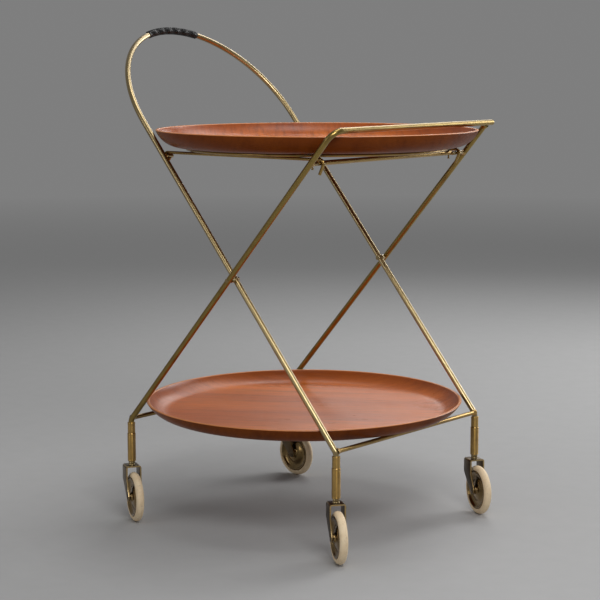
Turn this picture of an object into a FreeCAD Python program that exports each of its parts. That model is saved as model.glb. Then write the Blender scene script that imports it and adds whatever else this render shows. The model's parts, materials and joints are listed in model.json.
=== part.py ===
import FreeCAD, Part
import math
import os

# Serving trolley: two crossed frames of bent brass rod on four castors, two loose round trays.
# Millimetres, Z up, floor at zero. The rail end is +X, the handle end is -X, the near side is -Y.
# Sizes are measured from the pivot axis along X; the export then centres the trolley's length.

V = FreeCAD.Vector
UP = V(0, 0, 1)
ACROSS = V(0, 1, 0)
SIDES = {"near": -1, "far": 1}

# Castors: the wheel stands on the floor and the rest is stacked on it
wheel_radius = 37.0
tyre_half_width = 6.0
tyre_depth = 7.5
tyre_seat_half_width = 5.2
tyre_seat_chamfer = 0.8
castor_trail = 17.0
fork_inner_half_width = 9.5
fork_strip = 2.2
fork_corner_radius = 3.4
fork_clearance = 6.3
fork_plate_half_length = 11.5
fork_shoulder_drop = 21.0
fork_end_radius = 6.0
axle_radius = 2.5
axle_head_radius = 3.6
axle_head_thickness = 0.9
hub_boss_radius = 6.0
hub_boss_half_width = 8.6
hub_dish_inner_radius = 9.5
hub_dish_outer_radius = 22.0
hub_rim_width = 3.0
hub_web_half_thickness = 1.6
hub_rim_half_width = 5.6
stem_radius = 4.0
collar_radius = 5.2
collar_height = 6.0
TRAIL_DEGREES = {"front_near": -39.0, "front_far": -31.0, "rear_near": -31.5, "rear_far": -7.0}

# Leg ends: a castor socket and a sleeve over each rod end
leg_tube_wall = 1.75
leg_tube_length = 43.0
leg_sleeve_wall = 1.15
leg_sleeve_length = 16.5
rod_insert = 14.0
stem_headroom = 2.0

# Frames: both lean through one pivot axis, their legs standing round the trays' edges.
# Each leg gap lies between a tray's edge and the rod, at the height of the tray's lip.
rod_radius = 4.25
foot_bend_radius = 10.0
arch_lean_degrees = 38.87
rail_lean_degrees = 41.0
frame_width_share = 0.72227
frame_spread = 14.4
lower_arch_gap = 2.608
lower_rail_gap = 3.395
upper_arch_gap = 5.169
upper_rail_gap = 8.782
arch_lift = 15.578
rail_lift = 8.95
rail_corner_radius = 18.0
bar_radius = 3.25
bar_rise = 1.9

# Grip on the arch
grip_length = 112.0
grip_sleeve_thickness = 0.35
grip_cord_radius = 0.55
grip_turns = 22
grip_end_margin = 3.0

# Pivot pins and stubs
pivot_pin_radius = 2.0
pivot_head_radius = 3.4
pivot_head_thickness = 1.4
pivot_peen_radius = 2.7
pivot_peen_thickness = 0.6
pivot_spacer_radius = 4.0
arch_stub_radius = 3.0
rail_stub_radius = 2.75
stub_overhang = 10.0

# Tray carrier: two stays, a ring and a cross tube
stay_radius = 2.25
stay_clearance = 1.4
eye_sweep_degrees = 250.0
hook_sweep_degrees = 115.0
hook_tail_length = 14.0
ring_inset = 10.0
tube_setback = 13.6
tube_radius = 3.5
tube_bore_radius = 2.5
tube_overhang = 6.0
split_pin_radius = 1.1
split_pin_drop = 4.0
split_pin_splay = 1.6
split_leg_radius = 0.8

# Trays
tray_radius = 238.0
tray_cove_run = 36.0
upper_tray_height = 24.5
lower_tray_height = 21.0
tray_thickness = 4.0
tray_lip_rise = 1.2

# Fits
running_gap = 0.05
resting_gap = 0.2
free_gap = 0.3

# Values worked out from the sizes above
arch_lean = math.radians(arch_lean_degrees)
rail_lean = math.radians(rail_lean_degrees)
tyre_seat_radius = wheel_radius - tyre_depth
hub_rim_inner_radius = tyre_seat_radius - hub_rim_width
fork_top_height = 2 * wheel_radius + fork_clearance + fork_strip
fork_outer_half_width = fork_inner_half_width + fork_strip
leg_tube_radius = rod_radius + leg_tube_wall
leg_sleeve_radius = rod_radius + leg_sleeve_wall
leg_tube_bottom = fork_top_height + collar_height
leg_seam_height = leg_tube_bottom + leg_tube_length
leg_sleeve_top = leg_seam_height + leg_sleeve_length
rod_end_height = leg_seam_height - rod_insert
stem_top_height = rod_end_height - stem_headroom
tray_floor_radius = tray_radius - tray_cove_run
arch_half_width = tray_radius * frame_width_share
rail_half_width = arch_half_width + frame_spread
bend_reach = foot_bend_radius * math.tan(max(arch_lean, rail_lean) / 2)
foot_bend_height = leg_sleeve_top + bend_reach + free_gap
bar_height = foot_bend_height + bar_rise
lower_tray_bottom = bar_height + bar_radius + resting_gap
leg_circle = tray_radius + rod_radius
lower_arch_run = math.sqrt((leg_circle + lower_arch_gap) ** 2 - arch_half_width ** 2)
lower_rail_run = math.sqrt((leg_circle + lower_rail_gap) ** 2 - rail_half_width ** 2)
upper_arch_run = math.sqrt((leg_circle + upper_arch_gap) ** 2 - arch_half_width ** 2)
upper_rail_run = math.sqrt((leg_circle + upper_rail_gap) ** 2 - rail_half_width ** 2)
leg_slope = math.tan(arch_lean) + math.tan(rail_lean)
lower_lip_drop = (lower_arch_run + lower_rail_run) / leg_slope
upper_lip_rise = (upper_arch_run + upper_rail_run) / leg_slope
pivot_height = lower_tray_bottom + lower_tray_height + lower_lip_drop
leg_rise = pivot_height - foot_bend_height
arch_foot_x = leg_rise * math.tan(arch_lean)
rail_foot_x = -leg_rise * math.tan(rail_lean)
lower_tray_x = lower_lip_drop * math.tan(arch_lean) - lower_arch_run
upper_tray_x = upper_arch_run - upper_lip_rise * math.tan(arch_lean)
arch_straight_length = upper_lip_rise / math.cos(arch_lean) + arch_lift
rail_rise = upper_lip_rise + rail_lift
rail_height = pivot_height + rail_rise
rail_x = rail_rise * math.tan(rail_lean)
upper_tray_bottom = pivot_height + upper_lip_rise - upper_tray_height
ring_height = upper_tray_bottom - resting_gap - stay_radius
ring_radius = tray_floor_radius - ring_inset
stay_height = ring_height - stay_radius - stay_radius
eye_radius = arch_stub_radius + running_gap + stay_radius
hook_radius = eye_radius
stub_height = stay_height - eye_radius
stub_rise = stub_height - pivot_height
arch_stub_x = -stub_rise * math.tan(arch_lean)
rail_stub_x = stub_rise * math.tan(rail_lean)
stay_half_width = arch_half_width - rod_radius - stay_radius - stay_clearance
stub_inner_end = stay_half_width - stub_overhang
tube_x = rail_stub_x - tube_setback
tube_height = stay_height - stay_radius - tube_radius
tube_half_length = stay_half_width + tube_overhang
grip_outer_radius = rod_radius + grip_sleeve_thickness + running_gap + 2 * grip_cord_radius
handle_end_x = -(arch_straight_length + arch_half_width) * math.sin(arch_lean) - grip_outer_radius
rail_end_x = upper_tray_x + tray_radius
middle_x = (handle_end_x + rail_end_x) / 2
LEGS = {
    "front_near": (arch_foot_x, -arch_half_width),
    "front_far": (arch_foot_x, arch_half_width),
    "rear_near": (rail_foot_x, -rail_half_width),
    "rear_far": (rail_foot_x, rail_half_width),
}


def cylinder(radius, start, end):
    return Part.makeCylinder(radius, (end - start).Length, start, end - start)


def tube(outer, inner, start, end):
    return cylinder(outer, start, end).cut(cylinder(inner, start, end))


def line(start, end):
    return Part.makeLine(start, end)


def arc(start, middle, end):
    return Part.Arc(start, middle, end).toShape()


def swept_rod(edges, radius):
    """Round rod along a smooth chain of lines and arcs."""
    path = Part.Wire(edges)
    first = edges[0]
    start = first.valueAt(first.FirstParameter)
    direction = first.tangentAt(first.FirstParameter)
    profile = Part.Wire(Part.makeCircle(radius, start, direction))
    return path.makePipeShell([profile], True, False)


def corner(before, at, after, radius):
    """Tangent arc that rounds the corner at a point: its start, middle and end."""
    back = (before - at).normalize()
    ahead = (after - at).normalize()
    half_angle = back.getAngle(ahead) / 2
    reach = radius / math.tan(half_angle)
    inward = (back + ahead).normalize()
    centre = at + inward * (radius / math.sin(half_angle))
    return at + back * reach, centre - inward * radius, at + ahead * reach


def on_arch(along, y):
    """Point of the arch frame's plane, measured up the leg from the pivot axis."""
    return V(-along * math.sin(arch_lean), y, pivot_height + along * math.cos(arch_lean))


def arch_path():
    edges = []
    foot = {}
    for side in (-1, 1):
        y = side * arch_half_width
        bottom = V(arch_foot_x, y, rod_end_height)
        bend = V(arch_foot_x, y, foot_bend_height)
        top = on_arch(arch_straight_length, y)
        foot[side] = (bottom, corner(bottom, bend, top, foot_bend_radius), top)
    bottom, bend, top = foot[-1]
    edges += [line(bottom, bend[0]), arc(*bend), line(bend[2], top)]
    far_bottom, far_bend, far_top = foot[1]
    edges.append(arc(top, on_arch(arch_straight_length + arch_half_width, 0), far_top))
    edges += [line(far_top, far_bend[2]), arc(far_bend[2], far_bend[1], far_bend[0])]
    edges.append(line(far_bend[0], far_bottom))
    return edges


def rail_path():
    edges = []
    for side in (-1, 1):
        y = side * rail_half_width
        bottom = V(rail_foot_x, y, rod_end_height)
        bend = V(rail_foot_x, y, foot_bend_height)
        top = V(rail_x, y, rail_height)
        foot_arc = corner(bottom, bend, top, foot_bend_radius)
        rail_arc = corner(bend, top, V(rail_x, -y, rail_height), rail_corner_radius)
        run = [line(bottom, foot_arc[0]), arc(*foot_arc), line(foot_arc[2], rail_arc[0]), arc(*rail_arc)]
        if side < 0:
            edges += run
            rail_start = rail_arc[2]
        else:
            edges.append(line(rail_start, rail_arc[2]))
            edges.append(arc(rail_arc[2], rail_arc[1], rail_arc[0]))
            edges.append(line(rail_arc[0], foot_arc[2]))
            edges.append(arc(foot_arc[2], foot_arc[1], foot_arc[0]))
            edges.append(line(foot_arc[0], bottom))
    return edges


def pivot_pin(side):
    """Riveted pin: fixed in the arch leg, free in the rail leg, its outer end peened almost flush."""
    inner = arch_half_width - rod_radius
    outer = rail_half_width + rod_radius + free_gap
    at = lambda y: V(0, side * y, pivot_height)
    pin = cylinder(pivot_pin_radius, at(inner), at(outer))
    pin = pin.fuse(cylinder(pivot_head_radius, at(inner), at(inner - pivot_head_thickness)))
    pin = pin.fuse(cylinder(pivot_peen_radius, at(outer), at(outer + pivot_peen_thickness)))
    return pin.removeSplitter()


def pivot_spacer(side):
    start = V(0, side * (arch_half_width + rod_radius), pivot_height)
    end = V(0, side * (rail_half_width - rod_radius - free_gap), pivot_height)
    return tube(pivot_spacer_radius, pivot_pin_radius, start, end)


def pivot_hole(side, half_width, radius):
    reach = rod_radius + rod_radius
    start = V(0, side * (half_width - reach), pivot_height)
    end = V(0, side * (half_width + reach), pivot_height)
    return cylinder(radius, start, end)


def stub(side, x, half_width, radius):
    """Pin let into a leg, pointing inward."""
    return cylinder(radius, V(x, side * half_width, stub_height), V(x, side * stub_inner_end, stub_height))


def lower_bar(x, half_width, frame):
    return cylinder(bar_radius, V(x, -half_width, bar_height), V(x, half_width, bar_height)).cut(frame)


def around(centre_x, radius, degrees, y):
    angle = math.radians(degrees)
    return V(centre_x + radius * math.cos(angle), y, stub_height + radius * math.sin(angle))


def stay(side):
    """Rod with a curled eye on the arch stub and an open hook over the rail stub."""
    y = side * stay_half_width
    top = 90.0
    eye_end = top + eye_sweep_degrees
    eye_middle = top + eye_sweep_degrees / 2
    hook_end = top - hook_sweep_degrees
    hook_middle = top - hook_sweep_degrees / 2
    eye = [around(arch_stub_x, eye_radius, a, y) for a in (eye_end, eye_middle, top)]
    hook = [around(rail_stub_x, hook_radius, a, y) for a in (top, hook_middle, hook_end)]
    slope = math.radians(hook_end)
    tail = hook[2] + V(math.sin(slope), 0, -math.cos(slope)) * hook_tail_length
    edges = [arc(*eye), line(eye[2], hook[0]), arc(*hook), line(hook[2], tail)]
    return swept_rod(edges, stay_radius)


def tray_ring():
    return Part.makeTorus(ring_radius, stay_radius, V(upper_tray_x, 0, ring_height), UP)


def split_pin(side):
    """Pin through the cross tube, its two legs spread below."""
    y = side * stay_half_width
    below = tube_height - tube_radius - split_pin_radius
    pin = cylinder(split_pin_radius, V(tube_x, y, below), V(tube_x, y, stay_height - stay_radius))
    for way in (-1, 1):
        foot = V(tube_x, y + way * split_pin_splay, below - split_pin_drop)
        pin = pin.fuse(cylinder(split_leg_radius, V(tube_x, y, below + split_pin_radius), foot))
    return pin.removeSplitter()


def cross_tube():
    start = V(tube_x, -tube_half_length, tube_height)
    end = V(tube_x, tube_half_length, tube_height)
    return tube(tube_radius, tube_bore_radius, start, end)


def tray(centre_x, bottom, height):
    """Moulded tray: flat floor, one cove, rounded lip."""
    cove = (tray_cove_run ** 2 + height ** 2) / (2 * height)
    inner_cove = cove - tray_thickness
    rise = math.acos((cove - height) / cove)
    inner_rise = math.acos((cove - height) / inner_cove)
    at = lambda r, z: V(r, 0, z)
    middle = at(tray_floor_radius, cove)
    coved = lambda radius, angle: middle + at(radius * math.sin(angle), -radius * math.cos(angle))
    outer_lip = coved(cove, rise)
    inner_lip = coved(inner_cove, inner_rise)
    crown = (outer_lip + inner_lip) * (1 / 2) + UP * tray_lip_rise
    edges = [
        line(at(0, 0), at(tray_floor_radius, 0)),
        arc(at(tray_floor_radius, 0), coved(cove, rise / 2), outer_lip),
        arc(outer_lip, crown, inner_lip),
        arc(inner_lip, coved(inner_cove, inner_rise / 2), at(tray_floor_radius, tray_thickness)),
        line(at(tray_floor_radius, tray_thickness), at(0, tray_thickness)),
        line(at(0, tray_thickness), at(0, 0)),
    ]
    full_turn = 360
    solid = Part.Face(Part.Wire(edges)).revolve(V(0, 0, 0), UP, full_turn)
    solid.translate(V(centre_x, 0, bottom))
    return solid


def leg_sleeve(x, y):
    return tube(leg_sleeve_radius, rod_radius, V(x, y, leg_seam_height), V(x, y, leg_sleeve_top))


def leg_tube(x, y):
    """Castor socket: holds the rod end above and takes the castor stem below."""
    bottom = V(x, y, leg_tube_bottom)
    stop = V(x, y, rod_end_height)
    top = V(x, y, leg_seam_height)
    socket = cylinder(leg_tube_radius, bottom, top)
    socket = socket.cut(cylinder(rod_radius, stop, top))
    return socket.cut(cylinder(stem_radius + running_gap, bottom, stop))


def castor_stem():
    return cylinder(stem_radius, V(0, 0, fork_top_height - fork_strip), V(0, 0, stem_top_height))


def castor_collar():
    top = V(0, 0, leg_tube_bottom - free_gap)
    return tube(collar_radius, stem_radius, V(0, 0, fork_top_height), top)


def tangent_point(x, z, side):
    """Where a line from a point above touches the round end of the fork arm."""
    dx = castor_trail - x
    dz = wheel_radius - z
    reach = math.hypot(dx, dz)
    way = math.atan2(-dz, -dx) + side * math.acos(fork_end_radius / reach)
    return (
        castor_trail + fork_end_radius * math.cos(way),
        wheel_radius + fork_end_radius * math.sin(way),
    )


def fork_side():
    """Outline of the fork seen along its axle, as a block cut through both arms."""
    at = lambda x, z: V(x, -fork_outer_half_width, z)
    half = fork_plate_half_length
    shoulder = fork_top_height - fork_shoulder_drop
    outline = [
        at(*tangent_point(-half, shoulder, 1)),
        at(-half, shoulder),
        at(-half, fork_top_height),
        at(half, fork_top_height),
        at(half, shoulder),
        at(*tangent_point(half, shoulder, -1)),
    ]
    edges = [line(a, b) for a, b in zip(outline, outline[1:])]
    edges.append(arc(outline[-1], at(castor_trail, wheel_radius - fork_end_radius), outline[0]))
    return Part.Face(Part.Wire(edges)).extrude(ACROSS * (2 * fork_outer_half_width))


def rounded_channel(half_width, top, bottom, radius, start, length):
    """Solid bar whose two upper edges are rounded."""
    turn = radius * (1 - math.sqrt(1 / 2))
    at = lambda y, z: V(start, y, z)
    edges = [
        line(at(-half_width, bottom), at(-half_width, top - radius)),
        arc(at(-half_width, top - radius), at(turn - half_width, top - turn), at(radius - half_width, top)),
        line(at(radius - half_width, top), at(half_width - radius, top)),
        arc(at(half_width - radius, top), at(half_width - turn, top - turn), at(half_width, top - radius)),
        line(at(half_width, top - radius), at(half_width, bottom)),
        line(at(half_width, bottom), at(-half_width, bottom)),
    ]
    return Part.Face(Part.Wire(edges)).extrude(V(length, 0, 0))


def castor_fork():
    """Strip bent into a U over the wheel."""
    start = -wheel_radius
    length = 3 * wheel_radius
    outer = rounded_channel(fork_outer_half_width, fork_top_height, 0, fork_corner_radius, start, length)
    inner_radius = fork_corner_radius - fork_strip
    inner_top = fork_top_height - fork_strip
    inner = rounded_channel(fork_inner_half_width, inner_top, -fork_strip, inner_radius, start, length)
    fork = outer.cut(inner).common(fork_side())
    reach = 2 * fork_outer_half_width
    at = lambda y: V(castor_trail, y, wheel_radius)
    return fork.cut(cylinder(axle_radius, at(-reach), at(reach))).cut(castor_stem())


def castor_axle():
    at = lambda y: V(castor_trail, y, wheel_radius)
    end = fork_outer_half_width + axle_head_thickness
    axle = cylinder(axle_radius, at(-end), at(end))
    for side in (-1, 1):
        axle = axle.fuse(cylinder(axle_head_radius, at(side * fork_outer_half_width), at(side * end)))
    return axle.removeSplitter()


def spun(edges):
    """Solid turned about the axle line."""
    centre = V(castor_trail, 0, wheel_radius)
    full_turn = 360
    solid = Part.Face(Part.Wire(edges)).revolve(V(0, 0, 0), ACROSS, full_turn)
    solid.translate(centre)
    return solid


def wheel_hub():
    """Dished pressed hub with a long boss on the axle."""
    bore = axle_radius + running_gap
    half = [
        (bore, hub_boss_half_width),
        (hub_boss_radius, hub_boss_half_width),
        (hub_dish_inner_radius, hub_web_half_thickness),
        (hub_dish_outer_radius, hub_web_half_thickness),
        (hub_rim_inner_radius, hub_rim_half_width),
        (tyre_seat_radius, hub_rim_half_width),
    ]
    outline = [V(0, y, r) for r, y in half] + [V(0, -y, r) for r, y in reversed(half)]
    outline.append(outline[0])
    return spun([line(a, b) for a, b in zip(outline, outline[1:])])


def wheel_tyre():
    """Rubber ring with a half-round tread."""
    crown = wheel_radius - tyre_half_width
    shoulder = tyre_seat_radius + tyre_seat_chamfer
    seat = tyre_seat_half_width
    wide = tyre_half_width
    at = lambda r, y: V(0, y, r)
    edges = [
        line(at(tyre_seat_radius, -seat), at(tyre_seat_radius, seat)),
        line(at(tyre_seat_radius, seat), at(shoulder, wide)),
        line(at(shoulder, wide), at(crown, wide)),
        arc(at(crown, wide), at(wheel_radius, 0), at(crown, -wide)),
        line(at(crown, -wide), at(shoulder, -wide)),
        line(at(shoulder, -wide), at(tyre_seat_radius, -seat)),
    ]
    return spun(edges)


def placed_castor(shape, name):
    x, y = LEGS[name]
    moved = shape.copy()
    moved.rotate(V(0, 0, 0), UP, TRAIL_DEGREES[name])
    moved.translate(V(x, y, 0))
    return moved


def grip_point(turn_share, radius, turn_angle):
    """Point at a radius from the rod, a share of the way along the wound stretch."""
    wound = grip_length - 2 * grip_end_margin
    sweep = (turn_share - 1 / 2) * wound / arch_half_width
    outward = arch_half_width + radius * math.cos(turn_angle)
    lift = radius * math.sin(turn_angle)
    point = on_arch(arch_straight_length + outward * math.cos(sweep), outward * math.sin(sweep))
    return point + V(math.cos(arch_lean), 0, math.sin(arch_lean)) * lift


def biarc(start, start_way, end, end_way):
    """Two arcs that leave one point and reach another along given directions."""
    gap = end - start
    ways = start_way + end_way
    along = gap.dot(ways)
    spread = 2 * (1 - start_way.dot(end_way))
    reach = (-along + math.sqrt(along * along + spread * gap.dot(gap))) / spread
    first = start + start_way * reach
    last = end - end_way * reach
    joint = (first + last) * (1 / 2)
    arcs = []
    for a, apex, b in ((start, first, joint), (joint, last, end)):
        bisector = ((a + b) * (1 / 2) - apex)
        half = (apex - a).getAngle(b - a)
        chord = (b - a).Length
        sagitta = chord / 2 * math.tan(half / 2)
        middle = (a + b) * (1 / 2) - bisector.normalize() * sagitta
        arcs.append(arc(a, middle, b))
    return arcs


def grip_wrap():
    """One cord wound round the grip sleeve, its ends run out straight."""
    radius = rod_radius + grip_sleeve_thickness + grip_cord_radius + running_gap
    arcs_per_turn = 4
    steps = grip_turns * arcs_per_turn
    place = lambda step: grip_point(step / steps, radius, 2 * math.pi * step / arcs_per_turn)
    nudge_share = 0.001
    way = lambda step: (place(step + nudge_share) - place(step - nudge_share)).normalize()
    edges = []
    for step in range(steps):
        edges += biarc(place(step), way(step), place(step + 1), way(step + 1))
    tail = 2 * grip_cord_radius
    edges.insert(0, line(place(0) - way(0) * tail, place(0)))
    edges.append(line(place(steps), place(steps) + way(steps) * tail))
    print_least_gap(edges)
    return swept_rod(edges, grip_cord_radius)


def print_least_gap(edges):
    """Least gap of the wound cord to itself, on points a full half turn or more apart."""
    points_per_edge = 3
    points = []
    for edge in edges:
        points += edge.discretize(points_per_edge)[:-1]
    half_turn = 4 * (points_per_edge - 1)
    near_turns = 4 * half_turn
    least = min(
        points[i].distanceToPoint(points[j])
        for i in range(len(points))
        for j in range(i + half_turn, min(len(points), i + near_turns))
    )
    print("grip cord least gap to itself:", round(least - 2 * grip_cord_radius, 2), "mm")


def grip_sleeve():
    """Thin tube over the middle of the arch, turned about the arch's own centre."""
    centre = on_arch(arch_straight_length, 0)
    across_plane = V(-math.cos(arch_lean), 0, -math.sin(arch_lean))
    half_sweep = grip_length / 2 / arch_half_width
    along = arch_straight_length + arch_half_width * math.cos(half_sweep)
    start = on_arch(along, -arch_half_width * math.sin(half_sweep))
    direction = across_plane.cross(start - centre)
    turned = lambda radius: Part.Face(Part.Wire(Part.makeCircle(radius, start, direction))).revolve(
        centre, across_plane, math.degrees(2 * half_sweep)
    )
    return turned(rod_radius + grip_sleeve_thickness).cut(turned(rod_radius + running_gap))


def build():
    nodes = {}
    arch = swept_rod(arch_path(), rod_radius)
    rail = swept_rod(rail_path(), rod_radius)
    nodes["lower_bar_front"] = lower_bar(arch_foot_x, arch_half_width, arch)
    nodes["lower_bar_rear"] = lower_bar(rail_foot_x, rail_half_width, rail)
    carrier_tube = cross_tube()
    for name, side in SIDES.items():
        nodes["pivot_pin_" + name] = pivot_pin(side)
        nodes["pivot_spacer_" + name] = pivot_spacer(side)
        nodes["arch_stub_" + name] = stub(side, arch_stub_x, arch_half_width, arch_stub_radius)
        nodes["rail_stub_" + name] = stub(side, rail_stub_x, rail_half_width, rail_stub_radius)
        nodes["stay_" + name] = stay(side)
        nodes["split_pin_" + name] = split_pin(side)
        arch = arch.cut(pivot_hole(side, arch_half_width, pivot_pin_radius)).cut(nodes["arch_stub_" + name])
        rail_hole = pivot_hole(side, rail_half_width, pivot_pin_radius + running_gap)
        rail = rail.cut(rail_hole).cut(nodes["rail_stub_" + name])
        carrier_tube = carrier_tube.cut(nodes["split_pin_" + name])
    nodes["arch_frame"] = arch
    nodes["rail_frame"] = rail
    nodes["cross_tube"] = carrier_tube
    nodes["tray_ring"] = tray_ring()
    nodes["upper_tray"] = tray(upper_tray_x, upper_tray_bottom, upper_tray_height)
    nodes["lower_tray"] = tray(lower_tray_x, lower_tray_bottom, lower_tray_height)
    nodes["grip_sleeve"] = grip_sleeve()
    nodes["grip_wrap"] = grip_wrap()
    castor = {
        "castor_stem_": castor_stem(),
        "castor_collar_": castor_collar(),
        "castor_fork_": castor_fork(),
        "castor_axle_": castor_axle(),
        "wheel_hub_": wheel_hub(),
        "wheel_tyre_": wheel_tyre(),
    }
    for name, (x, y) in LEGS.items():
        nodes["leg_sleeve_" + name] = leg_sleeve(x, y)
        nodes["leg_tube_" + name] = leg_tube(x, y)
        for prefix, shape in castor.items():
            nodes[prefix + name] = placed_castor(shape, name)
    return nodes


os.makedirs("parts", exist_ok=True)
for node, shape in build().items():
    if len(shape.Solids) == 1:
        shape = shape.Solids[0]
    shape.translate(V(-middle_x, 0, 0))
    shape.exportStep("parts/" + node + ".step")
    print(node, shape.ShapeType, shape.isValid(), round(shape.Volume))
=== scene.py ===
import json
import math
import bmesh
import bpy
from mathutils import Matrix, Vector


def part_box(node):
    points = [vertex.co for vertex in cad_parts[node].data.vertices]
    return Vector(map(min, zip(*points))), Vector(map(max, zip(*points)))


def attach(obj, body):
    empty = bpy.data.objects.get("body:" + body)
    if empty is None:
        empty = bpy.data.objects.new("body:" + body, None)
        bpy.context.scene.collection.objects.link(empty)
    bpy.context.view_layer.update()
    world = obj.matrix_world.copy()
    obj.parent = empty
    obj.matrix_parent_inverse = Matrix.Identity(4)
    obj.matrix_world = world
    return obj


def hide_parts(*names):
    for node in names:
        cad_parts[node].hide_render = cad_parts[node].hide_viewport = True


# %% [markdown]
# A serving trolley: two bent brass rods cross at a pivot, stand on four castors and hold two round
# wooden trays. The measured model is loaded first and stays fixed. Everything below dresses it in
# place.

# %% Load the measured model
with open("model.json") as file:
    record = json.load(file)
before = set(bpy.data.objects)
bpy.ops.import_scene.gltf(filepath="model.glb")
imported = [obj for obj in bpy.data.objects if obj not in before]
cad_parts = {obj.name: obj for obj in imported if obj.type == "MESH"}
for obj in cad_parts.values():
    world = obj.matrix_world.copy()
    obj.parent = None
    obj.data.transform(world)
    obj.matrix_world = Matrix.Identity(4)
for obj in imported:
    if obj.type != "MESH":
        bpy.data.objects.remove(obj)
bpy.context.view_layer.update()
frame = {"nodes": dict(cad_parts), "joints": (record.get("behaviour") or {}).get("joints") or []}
nodes = frame["nodes"]
LEGS = ("front_near", "front_far", "rear_near", "rear_far")
SIDES = ("near", "far")

# %% [markdown]
# The camera stands a little above the upper tray's height and looks down slightly. Its place and
# lens were found by matching the rods' centre lines, so the crossing rods fall where they should.
# The lens is off centre by a few pixels, which a small shift repeats.

# %% Camera
IMAGE_SIZE = 600
FOCAL_PIXELS = 1770.53
OPTICAL_CENTRE = (311.07, 296.30)
CAMERA_PLACE = Vector((1.6659, -2.0511, 0.7019))
CAMERA_AIM = Vector((-0.61979, 0.77252, -0.13809))
SENSOR_WIDTH = 36

camera_data = bpy.data.cameras.new("camera")
camera = bpy.data.objects.new("camera", camera_data)
bpy.context.scene.collection.objects.link(camera)
camera.location = CAMERA_PLACE
camera.rotation_euler = CAMERA_AIM.to_track_quat("-Z", "Y").to_euler()
camera_data.sensor_width = SENSOR_WIDTH
camera_data.lens = SENSOR_WIDTH * FOCAL_PIXELS / IMAGE_SIZE
camera_data.shift_x = (IMAGE_SIZE / 2 - OPTICAL_CENTRE[0]) / IMAGE_SIZE
camera_data.shift_y = (OPTICAL_CENTRE[1] - IMAGE_SIZE / 2) / IMAGE_SIZE
bpy.context.scene.camera = camera
print("camera lens:", round(camera_data.lens, 2), "mm")

# %% [markdown]
# Materials and node trees are both graphs of nodes. A few small helpers keep them readable: they add
# a node, fill its inputs by name and join values. An input takes either a plain value or the output
# of another node.


# %% Helpers for node graphs
def fill(tree, socket, value):
    if isinstance(value, bpy.types.NodeSocket):
        tree.links.new(value, socket)
    else:
        socket.default_value = value


def add(tree, kind, settings=None, **inputs):
    made = tree.nodes.new(kind)
    for key, value in (settings or {}).items():
        setattr(made, key, value)
    for label, value in inputs.items():
        fill(tree, made.inputs[label.replace("_", " ")], value)
    return made


def sums(tree, operation, first, second=0.0):
    made = add(tree, "ShaderNodeMath", {"operation": operation})
    fill(tree, made.inputs[0], first)
    fill(tree, made.inputs[1], second)
    return made.outputs[0]


def mixed(tree, share, first, second):
    """Colour between two colours."""
    made = add(tree, "ShaderNodeMix", {"data_type": "RGBA"})
    for index, value in ((0, share), (6, first), (7, second)):
        fill(tree, made.inputs[index], value)
    return made.outputs[2]


def ramp(tree, value, low, high, start=0.0, end=1.0):
    """Number that runs from start to end while the value runs from low to high."""
    made = add(tree, "ShaderNodeMapRange", Value=value, From_Min=low, From_Max=high,
               To_Min=start, To_Max=end)
    return made.outputs[0]


def noise(tree, place, scale, detail=4.0, rough=0.55):
    made = add(tree, "ShaderNodeTexNoise", Vector=place, Scale=scale, Detail=detail, Roughness=rough)
    return made.outputs["Fac"]


def stretched(tree, place, stretch, turn=0.0):
    """Coordinates turned about the upright axis, then stretched."""
    turned_place = add(tree, "ShaderNodeMapping", Vector=place, Rotation=(0, 0, turn)).outputs[0]
    return add(tree, "ShaderNodeMapping", Vector=turned_place, Scale=stretch).outputs[0]


def rgb(red, green, blue):
    return (red, green, blue, 1.0)


def new_finish(name):
    """Material with its shader and its object coordinates."""
    finish = bpy.data.materials.new(name)
    finish.use_nodes = True
    tree = finish.node_tree
    place = tree.nodes.new("ShaderNodeTexCoord").outputs["Object"]
    return finish, tree, tree.nodes["Principled BSDF"], place


def bump(tree, shader, height, strength, distance):
    made = add(tree, "ShaderNodeBump", Height=height, Strength=strength, Distance=distance)
    tree.links.new(made.outputs[0], shader.inputs["Normal"])


# %% [markdown]
# Old brass is never one colour. Where hands and cloths reach it stays yellow and bright, elsewhere
# it goes brown in soft patches with small dark specks, and fine scratches dull it. Each of these is
# a noise of its own size: broad patches, specks of a millimetre or two, and hair-thin scratches. A
# clear lacquer over the metal adds a paler highlight to the yellow one. The castor sockets look
# brushed, so their shine is drawn out. One function makes every brass and bronze here, from three
# colours and how worn it is.


# %% Brass and bronze
PATCHES_PER_METRE = 26.0
CLOUDS_PER_METRE = 170.0
SPECKS_PER_METRE = 430.0
HAIRS_PER_METRE = (900.0, 900.0, 60.0)
DENTS_PER_METRE = 60.0
PATCH_EDGE = (0.66, 0.86)
SPECK_EDGE = (0.76, 0.81)
SPECK_DARKNESS = 0.55
TARNISH_ROUGHNESS, HAIR_ROUGHNESS, SPECK_ROUGHNESS = 0.05, 0.03, 0.06
LACQUER_ROUGHNESS, LACQUER_IOR = 0.26, 1.7
BRUSH_TURN = 0.25
DENT_SHARE, DENT_STRENGTH, DENT_DEPTH = 0.1, 0.05, 0.0003


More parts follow.
